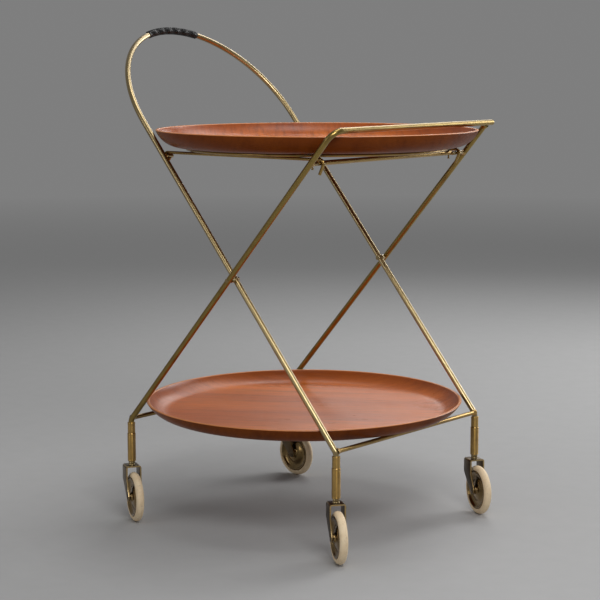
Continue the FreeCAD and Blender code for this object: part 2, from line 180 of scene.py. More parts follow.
def metal_finish(name, bright, dull, speck, rough, tarnish, speckle, lacquer, brushed=0.0):
    finish, tree, shader, place = new_finish(name)
    patches = noise(tree, place, PATCHES_PER_METRE, detail=5.0, rough=0.6)
    patches = ramp(tree, patches, PATCH_EDGE[0] - tarnish, PATCH_EDGE[1] - tarnish)
    cloud = ramp(tree, noise(tree, place, CLOUDS_PER_METRE, detail=3.0), 0.3, 0.75, 0.75, 1.0)
    specks = noise(tree, place, SPECKS_PER_METRE, detail=2.0, rough=0.5)
    specks = ramp(tree, specks, SPECK_EDGE[0] - speckle, SPECK_EDGE[1] - speckle)
    hairs = noise(tree, stretched(tree, place, HAIRS_PER_METRE), 1.0, detail=2.0)
    dulled = sums(tree, "MULTIPLY", patches, cloud)
    colour = mixed(tree, dulled, bright, dull)
    colour = mixed(tree, sums(tree, "MULTIPLY", specks, SPECK_DARKNESS), colour, speck)
    tree.links.new(colour, shader.inputs["Base Color"])
    worn = ramp(tree, dulled, 0.0, 1.0, rough, rough + TARNISH_ROUGHNESS)
    for marks, share in ((hairs, HAIR_ROUGHNESS), (specks, SPECK_ROUGHNESS)):
        worn = sums(tree, "ADD", worn, sums(tree, "MULTIPLY", marks, share))
    tree.links.new(worn, shader.inputs["Roughness"])
    shader.inputs["Metallic"].default_value = 1.0
    shader.inputs["Coat Weight"].default_value = lacquer
    shader.inputs["Coat Roughness"].default_value = LACQUER_ROUGHNESS
    shader.inputs["Coat IOR"].default_value = LACQUER_IOR
    shader.inputs["Anisotropic"].default_value = brushed
    shader.inputs["Anisotropic Rotation"].default_value = BRUSH_TURN
    dents = sums(tree, "MULTIPLY", noise(tree, place, DENTS_PER_METRE, detail=2.0), DENT_SHARE)
    bump(tree, shader, dents, DENT_STRENGTH, DENT_DEPTH)
    return finish


rod_brass = metal_finish(
    "rod_brass", rgb(0.38, 0.27, 0.098), rgb(0.25, 0.158, 0.044), rgb(0.12, 0.07, 0.025),
    rough=0.29, tarnish=0.11, speckle=0.02, lacquer=1.0)
rail_brass = metal_finish(
    "rail_brass", rgb(0.34, 0.23, 0.055), rgb(0.2, 0.125, 0.028), rgb(0.06, 0.035, 0.012),
    rough=0.28, tarnish=0.17, speckle=0.06, lacquer=0.3)
carrier_brass = metal_finish(
    "carrier_brass", rgb(0.4, 0.25, 0.062), rgb(0.22, 0.125, 0.03), rgb(0.05, 0.03, 0.01),
    rough=0.28, tarnish=0.17, speckle=0.06, lacquer=0.4)
socket_brass = metal_finish(
    "socket_brass", rgb(0.5, 0.3, 0.07), rgb(0.3, 0.165, 0.036), rgb(0.06, 0.035, 0.012),
    rough=0.36, tarnish=0.15, speckle=0.07, lacquer=0.6, brushed=0.85)
pressed_brass = metal_finish(
    "pressed_brass", rgb(0.27, 0.17, 0.055), rgb(0.11, 0.066, 0.022), rgb(0.05, 0.03, 0.012),
    rough=0.2, tarnish=0.2, speckle=0.08, lacquer=0.4)
dark_bronze = metal_finish(
    "dark_bronze", rgb(0.135, 0.093, 0.05), rgb(0.062, 0.043, 0.024), rgb(0.025, 0.018, 0.01),
    rough=0.36, tarnish=0.22, speckle=0.06, lacquer=0.1)
worn_bronze = metal_finish(
    "worn_bronze", rgb(0.5, 0.36, 0.17), rgb(0.26, 0.175, 0.075), rgb(0.05, 0.035, 0.02),
    rough=0.32, tarnish=0.15, speckle=0.08, lacquer=0.1)
print("metal finishes:", [m.name for m in bpy.data.materials])

# %% [markdown]
# The trays are pressed from veneer, so the grain runs straight across the whole disc and up the
# coved edge, as if drawn on from above. Stretched noise on turned coordinates gives that: broad
# colour bands, narrower streaks and fine pores, all long in one direction. Each tray has its grain
# turned its own way. An attribute called band, stored while the tray is turned, tells the parts of
# a tray apart: its floor, the cove, darkened with painted shade, the lip, lightened by a line of
# painted highlight, and the dark outside. The outside has a duller finish of its own.


# %% Teak
FLOOR_BAND, COVE_BAND, LIP_BAND, OUTSIDE_BAND = 0.0, 0.3, 1.0, 2.0
BROAD_GRAIN = (2.2, 11.0, 7.0)
STREAK_GRAIN = (6.0, 170.0, 80.0)
PORE_GRAIN = (40.0, 1500.0, 700.0)
SMOKY_GRAIN = (3.5, 34.0, 18.0)
TEAK_RED, TEAK_ORANGE = rgb(0.5, 0.108, 0.014), rgb(0.78, 0.2, 0.026)
STREAK_BROWN, SMOKE_BROWN = rgb(0.17, 0.04, 0.011), rgb(0.14, 0.035, 0.012)
# The cove's brown is painted shade laid over the cove.
PORE_BROWN, COVE_SHADE_BROWN = rgb(0.08, 0.021, 0.008), rgb(0.17, 0.038, 0.009)
# The lip's tan is a painted highlight along the lip.
OUTSIDE_BROWN, LIP_HIGHLIGHT_TAN = rgb(0.045, 0.009, 0.002), rgb(0.6, 0.23, 0.075)
SMOKE_SHARE, PORE_SHARE, COVE_SHADE_SHARE, OUTSIDE_SHARE, LIP_HIGHLIGHT_SHARE = 0.36, 0.5, 0.62, 0.75, 0.85
TEAK_ROUGHNESS, PORE_ROUGHNESS = (0.25, 0.36), 0.08
STREAK_RELIEF, TEAK_RELIEF, TEAK_DEPTH = 0.6, 0.16, 0.0004


def teak_finish(name, grain_turn, figure, shine):
    finish, tree, shader, place = new_finish(name)

    def grain(stretch, detail, rough=0.55):
        return noise(tree, stretched(tree, place, stretch, grain_turn), 1.0, detail, rough)

    def shared(value, share):
        return sums(tree, "MULTIPLY", value, share)

    broad, streak = grain(BROAD_GRAIN, 4.0), grain(STREAK_GRAIN, 5.0, 0.65)
    pores, smoke = grain(PORE_GRAIN, 2.0), ramp(tree, grain(SMOKY_GRAIN, 3.0), 0.56, 0.72)
    colour = mixed(tree, ramp(tree, broad, 0.35, 0.65), TEAK_RED, TEAK_ORANGE)
    colour = mixed(tree, ramp(tree, streak, 0.46, 0.72, 0.0, figure), colour, STREAK_BROWN)
    colour = mixed(tree, shared(smoke, SMOKE_SHARE), colour, SMOKE_BROWN)
    colour = mixed(tree, ramp(tree, pores, 0.58, 0.74, 0.0, PORE_SHARE), colour, PORE_BROWN)
    band = add(tree, "ShaderNodeAttribute", {"attribute_name": "band"}).outputs["Fac"]
    # The cove mask darkens the cove with painted shade, most towards its top.
    cove = shared(ramp(tree, band, 0.04, 0.26), ramp(tree, band, 0.3, 0.5, 1.0, 0.0))
    outside = ramp(tree, band, 1.2, 1.9)
    # The lip mask lightens the lip with a line of painted highlight.
    lip = shared(ramp(tree, band, 0.35, 0.8), ramp(tree, band, 1.2, 1.55, 1.0, 0.0))
    colour = mixed(tree, shared(cove, COVE_SHADE_SHARE), colour, COVE_SHADE_BROWN)
    colour = mixed(tree, shared(outside, OUTSIDE_SHARE), colour, OUTSIDE_BROWN)
    colour = mixed(tree, shared(lip, LIP_HIGHLIGHT_SHARE), colour, LIP_HIGHLIGHT_TAN)
    tree.links.new(colour, shader.inputs["Base Color"])
    worn = ramp(tree, noise(tree, place, 11.0, 4.0), 0.3, 0.7, *TEAK_ROUGHNESS)
    roughness = sums(tree, "ADD", worn, ramp(tree, pores, 0.4, 0.7, 0.0, PORE_ROUGHNESS))
    tree.links.new(roughness, shader.inputs["Roughness"])
    shader.inputs["Specular IOR Level"].default_value = shine
    relief = sums(tree, "SUBTRACT", shared(streak, STREAK_RELIEF), pores)
    bump(tree, shader, relief, TEAK_RELIEF, TEAK_DEPTH)
    return finish


UPPER_GRAIN, LOWER_GRAIN = math.radians(41.0), math.radians(-30.0)
upper_teak = teak_finish("upper_teak", UPPER_GRAIN, figure=0.6, shine=0.4)
lower_teak = teak_finish("lower_teak", LOWER_GRAIN, figure=0.34, shine=0.4)
dark_teak = teak_finish("dark_teak", UPPER_GRAIN, figure=0.34, shine=0.06)
print("grain turned for:", upper_teak.name, lower_teak.name, "outside:", dark_teak.name)

# %% [markdown]
# The tyres are old cream rubber: faintly mottled, a little dirtier where they roll, and nearly
# matt. The grip is wound with a satin black cord over a duller black sleeve.


# %% Rubber and grip
CREAM, WARM_CREAM, ROAD_DIRT = rgb(0.92, 0.74, 0.5), rgb(0.84, 0.64, 0.4), rgb(0.48, 0.35, 0.22)
SIDE_DIRT, TREAD_DIRT = 0.2, 0.5
RUBBER_ROUGHNESS = (0.55, 0.7)
GRIP_BLACK, GRIP_DUST = rgb(0.006, 0.006, 0.0065), rgb(0.016, 0.015, 0.015)
CORD_ROUGHNESS, SLEEVE_ROUGHNESS = (0.28, 0.4), (0.4, 0.55)


def tyre_finish():
    finish, tree, shader, place = new_finish("cream_rubber")
    mottle = ramp(tree, noise(tree, place, 90.0, 4.0), 0.35, 0.7)
    grime = ramp(tree, noise(tree, place, 240.0, 4.0, 0.7), 0.54, 0.72)
    tread = add(tree, "ShaderNodeAttribute", {"attribute_name": "band"}).outputs["Fac"]
    colour = mixed(tree, mottle, CREAM, WARM_CREAM)
    dirt = sums(tree, "MULTIPLY", grime, ramp(tree, tread, 0.0, 1.0, SIDE_DIRT, TREAD_DIRT))
    colour = mixed(tree, dirt, colour, ROAD_DIRT)
    tree.links.new(colour, shader.inputs["Base Color"])
    tree.links.new(ramp(tree, mottle, 0.0, 1.0, *RUBBER_ROUGHNESS), shader.inputs["Roughness"])
    bump(tree, shader, grime, strength=0.15, distance=0.0004)
    return finish


def grip_finish(name, roughness):
    finish, tree, shader, place = new_finish(name)
    dust = noise(tree, place, 260.0, 4.0)
    colour = mixed(tree, ramp(tree, dust, 0.45, 0.75), GRIP_BLACK, GRIP_DUST)
    tree.links.new(colour, shader.inputs["Base Color"])
    tree.links.new(ramp(tree, dust, 0.3, 0.7, *roughness), shader.inputs["Roughness"])
    bump(tree, shader, dust, strength=0.1, distance=0.0003)
    return finish


cream_rubber = tyre_finish()
black_cord = grip_finish("black_cord", CORD_ROUGHNESS)
black_sleeve = grip_finish("black_sleeve", SLEEVE_ROUGHNESS)
print("soft finishes:", cream_rubber.name, black_cord.name, black_sleeve.name)

# %% [markdown]
# Every measured piece gets the finish of its kind, also one that is replaced further down, so that
# it would look right if it stayed. The name of a piece tells its kind, so one table of word and
# finish is enough, and the first word that fits is used.

# %% Finishes for the measured pieces
FINISH_BY_WORD = (
    ("rail_frame", rail_brass),
    ("fork", dark_bronze),
    ("axle", dark_bronze),
    ("stem", dark_bronze),
    ("collar", dark_bronze),
    ("stay", carrier_brass),
    ("ring", carrier_brass),
    ("tube", carrier_brass),
    ("split_pin", carrier_brass),
    ("lower_bar", carrier_brass),
    ("grip", black_sleeve),
    ("tray", upper_teak),
    ("tyre", cream_rubber),
    ("hub", pressed_brass),
)
for name, piece in nodes.items():
    finish = next((made for word, made in FINISH_BY_WORD if word in name), rod_brass)
    piece.data.materials.clear()
    piece.data.materials.append(finish)
print("finished pieces:", len(nodes))

# %% [markdown]
# Trays, wheels and sleeves are all turned forms: an outline carried round an axis. A Screw modifier
# could do it, but a node tree takes named inputs and can carry an attribute along. The tree makes a
# grid with one row for each point of the outline, looks that point up, and turns it about Z. The
# grid is then closed by merging its seam and its poles.


# %% Node tree that turns an outline
MERGE_DISTANCE = 0.000002


def new_tree(name, inputs):
    tree = bpy.data.node_groups.new(name, "GeometryNodeTree")
    tree.interface.new_socket("Geometry", in_out="INPUT", socket_type="NodeSocketGeometry")
    for label, kind in inputs.items():
        tree.interface.new_socket(label, in_out="INPUT", socket_type=kind)
    tree.interface.new_socket("Geometry", in_out="OUTPUT", socket_type="NodeSocketGeometry")
    return tree, tree.nodes.new("NodeGroupInput").outputs


def end_tree(tree, geometry, material):
    """Real geometry with its finish, as the last two steps of every tree."""
    real = add(tree, "GeometryNodeRealizeInstances", Geometry=geometry).outputs[0]
    done = add(tree, "GeometryNodeSetMaterial", Geometry=real, Material=material).outputs[0]
    tree.links.new(done, tree.nodes.new("NodeGroupOutput").inputs[0])


def looked_up(tree, kind, geometry, value, index):
    return add(tree, "GeometryNodeSampleIndex", {"data_type": kind, "domain": "POINT"},
               Geometry=geometry, Value=value, Index=index).outputs[0]


def turning_tree():
    inputs = {"Segments": "NodeSocketInt", "Finish": "NodeSocketMaterial"}
    tree, given = new_tree("turned outline", inputs)
    outline = given["Geometry"]
    points = add(tree, "GeometryNodeAttributeDomainSize", Geometry=outline).outputs["Point Count"]
    rows = sums(tree, "ADD", given["Segments"], 1.0)
    grid = add(tree, "GeometryNodeMeshGrid", Vertices_X=rows, Vertices_Y=points).outputs["Mesh"]
    index = tree.nodes.new("GeometryNodeInputIndex").outputs[0]
    which = sums(tree, "MODULO", index, points)
    row = sums(tree, "FLOOR", sums(tree, "DIVIDE", index, points))
    angle = sums(tree, "MULTIPLY", sums(tree, "DIVIDE", row, given["Segments"]), math.tau)
    position = tree.nodes.new("GeometryNodeInputPosition").outputs[0]
    spot = looked_up(tree, "FLOAT_VECTOR", outline, position, which)
    spun = add(tree, "ShaderNodeVectorRotate", {"rotation_type": "Z_AXIS"},
               Vector=spot, Angle=angle).outputs[0]
    placed = add(tree, "GeometryNodeSetPosition", Geometry=grid, Position=spun).outputs[0]
    band = add(tree, "GeometryNodeInputNamedAttribute", {"data_type": "FLOAT"}, Name="band").outputs[0]
    carried = looked_up(tree, "FLOAT", outline, band, which)
    marked = add(tree, "GeometryNodeStoreNamedAttribute", {"data_type": "FLOAT", "domain": "POINT"},
                 Geometry=placed, Name="band", Value=carried).outputs[0]
    closed = add(tree, "GeometryNodeMergeByDistance", Geometry=marked, Distance=MERGE_DISTANCE).outputs[0]
    end_tree(tree, closed, given["Finish"])
    return tree


TURNING = turning_tree()
print("tree made:", TURNING.name)

# %% [markdown]
# A helper turns the tree's result into a plain mesh: it draws the outline as loose points, hangs
# the tree on it as a modifier, reads the evaluated mesh and throws the modifier's object away.
# Smooth shading follows, with an edge kept sharp where two faces meet at more than a set angle.


# %% Helpers for plain meshes
SHARP_ANGLE = math.radians(38)
SLIVER_LENGTH = 0.0000005
ROUND_SEGMENTS = 96


def set_inputs(modifier, values):
    for item in modifier.node_group.interface.items_tree:
        if item.in_out == "INPUT" and item.name in values:
            modifier[item.identifier] = values[item.name]


def made_by(tree, mesh, values):
    """Plain mesh that a tree makes from a mesh."""
    holder = bpy.data.objects.new("holder", mesh)
    bpy.context.scene.collection.objects.link(holder)
    modifier = holder.modifiers.new("tree", "NODES")
    modifier.node_group = tree
    set_inputs(modifier, values)
    seen = holder.evaluated_get(bpy.context.evaluated_depsgraph_get())
    plain = bpy.data.meshes.new_from_object(seen)
    bpy.data.objects.remove(holder)
    return plain


def tidy_mesh(mesh, matrix):
    """Put a mesh in place, face it outwards and shade it smooth up to the sharp angle."""
    work = bmesh.new()
    work.from_mesh(mesh)
    bmesh.ops.transform(work, matrix=matrix, verts=work.verts)
    bmesh.ops.dissolve_degenerate(work, dist=SLIVER_LENGTH, edges=work.edges)
    bmesh.ops.recalc_face_normals(work, faces=work.faces)
    for face in work.faces:
        face.smooth = True
    for edge in work.edges:
        if len(edge.link_faces) == 2:
            edge.smooth = edge.calc_face_angle() < SHARP_ANGLE
    work.to_mesh(mesh)
    work.free()


def new_piece(name, mesh, body, replaced=()):
    piece = bpy.data.objects.new(name, mesh)
    bpy.context.scene.collection.objects.link(piece)
    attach(piece, body)
    if replaced:
        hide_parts(*replaced)


def outline_mesh(points):
    """Points of an outline as (radius, height, band), in order."""
    mesh = bpy.data.meshes.new("outline")
    mesh.from_pydata([(radius, 0, height) for radius, height, band in points], [], [])
    bands = mesh.attributes.new("band", "FLOAT", "POINT")
    for item, (radius, height, band) in zip(bands.data, points):
        item.value = band
    return mesh


def turned(points, finish, matrix, segments=ROUND_SEGMENTS):
    mesh = made_by(TURNING, outline_mesh(points), {"Segments": segments, "Finish": finish})
    tidy_mesh(mesh, matrix)
    return mesh


print("helpers ready, edges sharp above", round(math.degrees(SHARP_ANGLE)), "degrees")

# %% [markdown]
# A tray's outline starts under its middle, runs out along the flat base, up the outside of the
# cove, over a rounded lip, down the inside and back across the floor. The cove is an arc, found
# from its run and its rise. The measured tray gives radius, height and place. Faces that lie wholly
# on the outside get the duller finish.

# %% Trays
TRAY_WALL = 0.004
TRAY_COVE_RUN = 0.036
TRAY_LIP_RISE = 0.0012
COVE_STEPS = 14
LIP_STEPS = 8
FLOOR_STEPS = 24
TRAY_SEGMENTS = 192


def arc_points(centre, radius, angles, bands):
    """Points of the cove's arc, angles measured from straight down towards the outside."""
    points = []
    for step in range(COVE_STEPS + 1):
        angle, band = (start + (end - start) * step / COVE_STEPS for start, end in (angles, bands))
        points.append((centre[0] + radius * math.sin(angle), centre[1] - radius * math.cos(angle), band))
    return points


def tray_outline(radius, height):
    floor = radius - TRAY_COVE_RUN
    rise = height - TRAY_LIP_RISE
    cove = (TRAY_COVE_RUN**2 + rise**2) / (2 * rise)
    inner = cove - TRAY_WALL
    centre = (floor, cove)
    outer_end = math.acos((cove - rise) / cove)
    inner_end = math.acos((cove - rise) / inner)
    outside = arc_points(centre, cove, (0, outer_end), (OUTSIDE_BAND, OUTSIDE_BAND))
    inside = arc_points(centre, inner, (inner_end, 0), (COVE_BAND, FLOOR_BAND))
    lip_start, lip_end = Vector(outside[-1][:2]), Vector(inside[0][:2])
    lip_middle = (lip_start + lip_end) / 2
    lip_half = (lip_start - lip_end).length / 2
    lip = []
    for step in range(1, LIP_STEPS):
        angle = math.pi * step / LIP_STEPS
        across, up = lip_half * math.cos(angle), TRAY_LIP_RISE * math.sin(angle)
        lip.append((lip_middle.x + across, rise + up, LIP_BAND))
    base, face = [], []
    for step in range(FLOOR_STEPS):
        base.append((floor * step / FLOOR_STEPS, 0.0, OUTSIDE_BAND))
        face.append((floor * (FLOOR_STEPS - step - 1) / FLOOR_STEPS, TRAY_WALL, FLOOR_BAND))
    return base + outside + lip + inside + face


for name, finish in (("upper_tray", upper_teak), ("lower_tray", lower_teak)):
    low, high = (Vector(corner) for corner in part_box(name))
    middle = (low + high) / 2
    outline = tray_outline((high.x - low.x) / 2, high.z - low.z)
    mesh = turned(outline, finish, Matrix.Translation((middle.x, middle.y, low.z)), TRAY_SEGMENTS)
    mesh.materials.clear()
    mesh.materials.append(finish)
    mesh.materials.append(dark_teak)
    bands = [item.value for item in mesh.attributes["band"].data]
    for face in mesh.polygons:
        lowest = min(bands[index] for index in face.vertices)
        face.material_index = int(lowest > (LIP_BAND + OUTSIDE_BAND) / 2)
    new_piece(name + "_turned", mesh, name, [name])
    print(name, "faces:", len(mesh.polygons), "radius:", round((high.x - low.x) / 2, 4))

# %% [markdown]
# A castor's wheel turns about its own axle, so the hinge that rolls it gives both the middle and the
# direction to turn its outline about. Outlines are written in millimetres, and only one side of a
# wheel is drawn, because the other is the same.


# %% Helpers for wheels
HINGES = {joint["name"]: joint for joint in frame["joints"]}


def about(hinge_name):
    """Matrix that takes the upright axis to a hinge's axis."""
    hinge = HINGES[hinge_name]
    turn = Vector(hinge["axis"]).to_track_quat("Z", "Y").to_matrix().to_4x4()
    return Matrix.Translation(hinge["pos_m"]) @ turn


def millimetres(points, band=0.0):
    return [(radius / 1000, height / 1000, band) for radius, height in points]


def softened(points, steps=5):
    """Smooth line through a few points, as pressed sheet bends."""
    ends = [points[0]] + list(points) + [points[-1]]
    line = []
    for before, start, end, after in zip(ends, ends[1:], ends[2:], ends[3:]):
        for step in range(steps):
            t = step / steps
            spot = []
            for a, b, c, d in zip(before, start, end, after):
                spot.append(b + t * (c - a) / 2 + t**2 * (a - 2.5 * b + 2 * c - d / 2)
                            + t**3 * (1.5 * (b - c) + (d - a) / 2))
            line.append(tuple(spot))
    return line + [points[-1]]


def both_sides(half):
    """Outline of a piece that is the same on both sides, closed on itself."""
    other = [(radius, -height, band) for radius, height, band in reversed(half)]
    return half + other + [half[0]]


print("hinges read:", len(HINGES))

# %% [markdown]
# The tyre is a half-round ring with a fine mould line round its tread. The pressed hub has a rolled
# rim, a ring-shaped dish and a boss in its middle. A smooth line through a few points gives the
# soft bends of pressed sheet.

# %% Tyres and hubs
TREAD_STEPS = 10
TYRE_SEAT = (29.5, 5.2)
TYRE_SIDE = ((30.0, 5.75), (30.6, 5.95), (31.0, 5.95))
TREAD_MIDDLE, TREAD_RADIUS = 31.0, 5.9
MOULD_LINE = ((36.92, 0.32), (37.0, 0.2))
HUB_BOSS = ((2.55, 8.2), (2.9, 8.6), (5.4, 8.6), (6.0, 8.1))
HUB_FACE = ((6.0, 8.1), (6.4, 6.6), (8.4, 5.2), (11.5, 4.6), (14.5, 3.6), (17.0, 2.4), (19.5, 1.9),
            (22.0, 2.2), (24.6, 3.4), (26.4, 5.2), (27.6, 6.0), (28.7, 5.8), (29.45, 4.6))


def tyre_outline():
    half = millimetres([TYRE_SEAT]) + millimetres(TYRE_SIDE)
    for step in range(1, TREAD_STEPS):
        angle = math.pi / 2 * step / TREAD_STEPS
        radius = TREAD_MIDDLE + TREAD_RADIUS * math.sin(angle)
        half += millimetres([(radius, TREAD_RADIUS * math.cos(angle))], math.sin(angle))
    return both_sides(half + millimetres(MOULD_LINE, 1.0))


def hub_outline():
    return both_sides(millimetres(list(HUB_BOSS) + softened(HUB_FACE)[1:]))


for leg in LEGS:
    wheel = about("roll_" + leg)
    tyre = turned(tyre_outline(), cream_rubber, wheel)
    new_piece("tyre_" + leg, tyre, "wheel_" + leg, ["wheel_tyre_" + leg])
    hub = turned(hub_outline(), pressed_brass, wheel)
    new_piece("hub_" + leg, hub, "wheel_" + leg, ["wheel_hub_" + leg])
print("wheel faces:", len(tyre.polygons), len(hub.polygons))

# %% [markdown]
# The axle is a rivet, domed at both ends where it is set over the fork. Above the fork, a small
# collar with a rolled ring lets the castor turn under its socket. The socket is a brass tube with
# rolled edges, and a shorter sleeve above it hides where the rod goes in. All four are turned.

# %% Axles, collars, sockets and sleeves
AXLE_HALF = ((0.0, 12.55), (1.6, 12.5), (2.8, 12.25), (3.5, 11.9), (3.6, 11.72), (2.5, 11.68))
COLLAR = ((4.0, 0.0), (5.15, 0.0), (5.2, 0.5), (5.05, 1.0), (4.75, 1.5), (4.7, 2.6), (4.9, 3.1),
          (5.2, 3.6), (5.2, 4.3), (4.95, 4.8), (4.9, 5.5), (4.6, 5.7), (4.0, 5.7))
SOCKET = ((4.05, 0.0), (5.7, 0.0), (6.2, 0.25), (6.35, 0.9), (6.3, 1.6), (6.05, 2.1), (6.1, 2.7),
          (6.25, 3.4), (6.25, 38.6), (6.1, 39.2), (6.1, 39.7), (6.35, 40.4), (6.35, 41.6),
          (6.15, 42.5), (5.7, 42.95), (4.3, 43.0))
SLEEVE = ((4.3, 0.0), (5.5, 0.0), (5.7, 0.5), (5.65, 8.0), (5.65, 13.7), (5.85, 14.2), (5.85, 15.4),
          (5.6, 16.1), (5.0, 16.45), (4.3, 16.5))
AXLE_SEGMENTS, SOCKET_SEGMENTS = 32, 48


def on_leg(name):
    """Matrix that stands a turned piece on the lower end of a measured one."""
    low, high = (Vector(corner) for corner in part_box(name))
    return Matrix.Translation(((low.x + high.x) / 2, (low.y + high.y) / 2, low.z))


for leg in LEGS:
    body = "arch_frame" if leg.startswith("front") else "rail_frame"
    axle_outline = both_sides(millimetres(AXLE_HALF))[:-1]
    axle = turned(axle_outline, dark_bronze, about("roll_" + leg), AXLE_SEGMENTS)
    new_piece("axle_" + leg, axle, "castor_" + leg, ["castor_axle_" + leg])
    for kind, outline, finish, slot, rides, node in (
        ("collar", COLLAR, rod_brass, "bronze", "castor_" + leg, "castor_collar_"),
        ("socket", SOCKET, socket_brass, "brass", body, "leg_tube_"),
        ("sleeve", SLEEVE, socket_brass, "brass", body, "leg_sleeve_"),
    ):
        closed = millimetres(outline) + millimetres(outline[:1])
        mesh = turned(closed, finish, on_leg(node + leg), SOCKET_SEGMENTS)
        new_piece(kind + "_" + leg, mesh, rides, [node + leg])
    print(leg, "leg end dressed, riding on", body)

# %% [markdown]
# A fork is one strip bent over its wheel. Handling wears the dark patina off the strip's cut edges,
# so they shine. The measured fork gives the shape: a copy is merged and its sharp edges are
# bevelled. A face counts as cut edge where it looks neither along the axle nor straight up or down.

# %% Forks with worn edges
BEVEL_WIDTH = 0.0003
FLAT_ANGLE = math.radians(1)
ALONG_AXLE, UPRIGHT = 0.8, 0.93


def bevelled_copy(piece, finishes):
    """Merged copy of a measured piece with soft edges."""
    mesh = piece.data.copy()
    mesh.materials.clear()
    for finish in finishes:
        mesh.materials.append(finish)
    work = bmesh.new()
    work.from_mesh(mesh)
    bmesh.ops.remove_doubles(work, verts=work.verts, dist=MERGE_DISTANCE)
    bmesh.ops.dissolve_limit(work, angle_limit=FLAT_ANGLE, verts=work.verts, edges=work.edges)
    inner = [edge for edge in work.edges if len(edge.link_faces) == 2]
    sharp = [edge for edge in inner if edge.calc_face_angle() > SHARP_ANGLE]
    bmesh.ops.bevel(work, geom=sharp, offset=BEVEL_WIDTH, segments=2, profile=0.5, affect="EDGES",
                    clamp_overlap=True)
    work.to_mesh(mesh)
    work.free()
    tidy_mesh(mesh, Matrix.Identity(4))
    return mesh


for leg in LEGS:
    axle_way = Vector(HINGES["roll_" + leg]["axis"])
    fork = bevelled_copy(nodes["castor_fork_" + leg], (dark_bronze, worn_bronze))
    for face in fork.polygons:
        sideways = abs(face.normal.dot(axle_way)) > ALONG_AXLE
        level = abs(face.normal.z) > UPRIGHT
        face.material_index = int(not sideways and not level)
    new_piece("fork_" + leg, fork, "castor_" + leg, ["castor_fork_" + leg])
print("fork faces:", len(fork.polygons), "worn:", sum(face.material_index for face in fork.polygons))

# %% [markdown]
# The frames are bent from round rod. Each is drawn as lines with rounded corners: up from the foot
# and over a small bend into the slope. A tree sweeps a round section along such a line, which gives
# rods smoother than the measured ones, so long highlights run along them.


# %% Node tree that sweeps a rod
def sweeping_tree():
    tree, given = new_tree("swept rod", {"Radius": "NodeSocketFloat", "Sides": "NodeSocketInt",
                                         "Finish": "NodeSocketMaterial"})
    path = add(tree, "GeometryNodeMeshToCurve", Mesh=given["Geometry"]).outputs[0]
    section = add(tree, "GeometryNodeCurvePrimitiveCircle", Resolution=given["Sides"],
                  Radius=given["Radius"]).outputs[0]
    rod = add(tree, "GeometryNodeCurveToMesh", Curve=path, Profile_Curve=section,
              Fill_Caps=True).outputs[0]
    end_tree(tree, rod, given["Finish"])
    return tree


SWEEPING = sweeping_tree()
ARC_STEP = math.radians(2.5)
STRAIGHT_STEP = 0.008
ROD_SIDES = 24


def straight(start, end):
    """Points from start up to, but without, end."""
    count = max(1, round((end - start).length / STRAIGHT_STEP))
    return [start.lerp(end, step / count) for step in range(count)]


def rounded(corners, radii):
    """Line through corners, the inner ones rounded."""
    line, last = [], corners[0]
    for before, at, after, radius in zip(corners, corners[1:], corners[2:], radii):
        back, ahead = (before - at).normalized(), (after - at).normalized()
        half = back.angle(ahead) / 2
        inward = (back + ahead).normalized()
        middle = at + inward * (radius / math.sin(half))
        reach = radius / math.tan(half)
        start, end = at + back * reach, at + ahead * reach
        line += straight(last, start)
        steps = math.ceil((math.pi - 2 * half) / ARC_STEP)
        axis = (start - middle).cross(end - middle)
        for step in range(steps):
            turn = Matrix.Rotation((math.pi - 2 * half) * step / steps, 3, axis)
            line.append(middle + turn @ (start - middle))
        last = end
    return line + straight(last, corners[-1]) + [corners[-1]]


def swept(lines, radius, finish, closed=False, sides=ROD_SIDES):
    """One mesh of rods along lines of points."""
    points, edges = [], []
    for line in lines:
        first = len(points)
        points += line
        edges += [(index, index + 1) for index in range(first, len(points) - 1)]
        if closed:
            edges.append((len(points) - 1, first))
    mesh = bpy.data.meshes.new("lines")
    mesh.from_pydata(points, edges, [])
    rod = made_by(SWEEPING, mesh, {"Radius": radius, "Sides": sides, "Finish": finish})
    tidy_mesh(rod, Matrix.Identity(4))
    return rod


print("tree made:", SWEEPING.name)

# %% [markdown]
# The arch goes up one leg, round the top in two corners so wide that they meet, and down the other.
# The rail is bent only at its near corner. At the far side its leg is butted under the rail and
# brazed, and the rail runs a little past it. So the rail frame is two lines, and the arch is one.

# %% Arch and rail
ROD_RADIUS = 0.00425
ARCH_LEAN = math.radians(38.87)
ARCH_STRAIGHT = 0.281
ARCH_RADIUS = 0.1719
FOOT_BEND = 0.010
RAIL_BEND = 0.018
RAIL_OVERHANG = 0.0135
FRAME_SPACING = 0.0144
LEG_Y = {"arch_frame": ARCH_RADIUS, "rail_frame": ARCH_RADIUS + FRAME_SPACING}
pivot = Vector(HINGES["fold"]["pos_m"])
up_arch = Vector((-math.sin(ARCH_LEAN), 0, math.cos(ARCH_LEAN)))
across = Vector((0, 1, 0))
rail_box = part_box("rail_frame")
arch_top = pivot + up_arch * (ARCH_STRAIGHT + ARCH_RADIUS)
rail_top = Vector((rail_box[1][0] - ROD_RADIUS, 0, rail_box[1][2] - ROD_RADIUS))


def leg_corners(body, foot, top):
    """Lower end, knee and top of a leg, in the trolley's middle plane."""
    low, high = (Vector(corner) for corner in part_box("leg_tube_" + foot))
    x = (low.x + high.x) / 2
    slope = (top.z - pivot.z) / (top.x - pivot.x)
    return [Vector((x, 0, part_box(body)[0][2])), Vector((x, 0, pivot.z + slope * (x - pivot.x))), top]


arch_leg = leg_corners("arch_frame", "front_near", arch_top)
out = across * LEG_Y["arch_frame"]
loop = [corner - out for corner in arch_leg] + [corner + out for corner in reversed(arch_leg)]
bends = (FOOT_BEND, ARCH_RADIUS, ARCH_RADIUS, FOOT_BEND)
arch = swept([rounded(loop, bends)], ROD_RADIUS, rod_brass)
new_piece("arch_rod", arch, "arch_frame", ["arch_frame"])

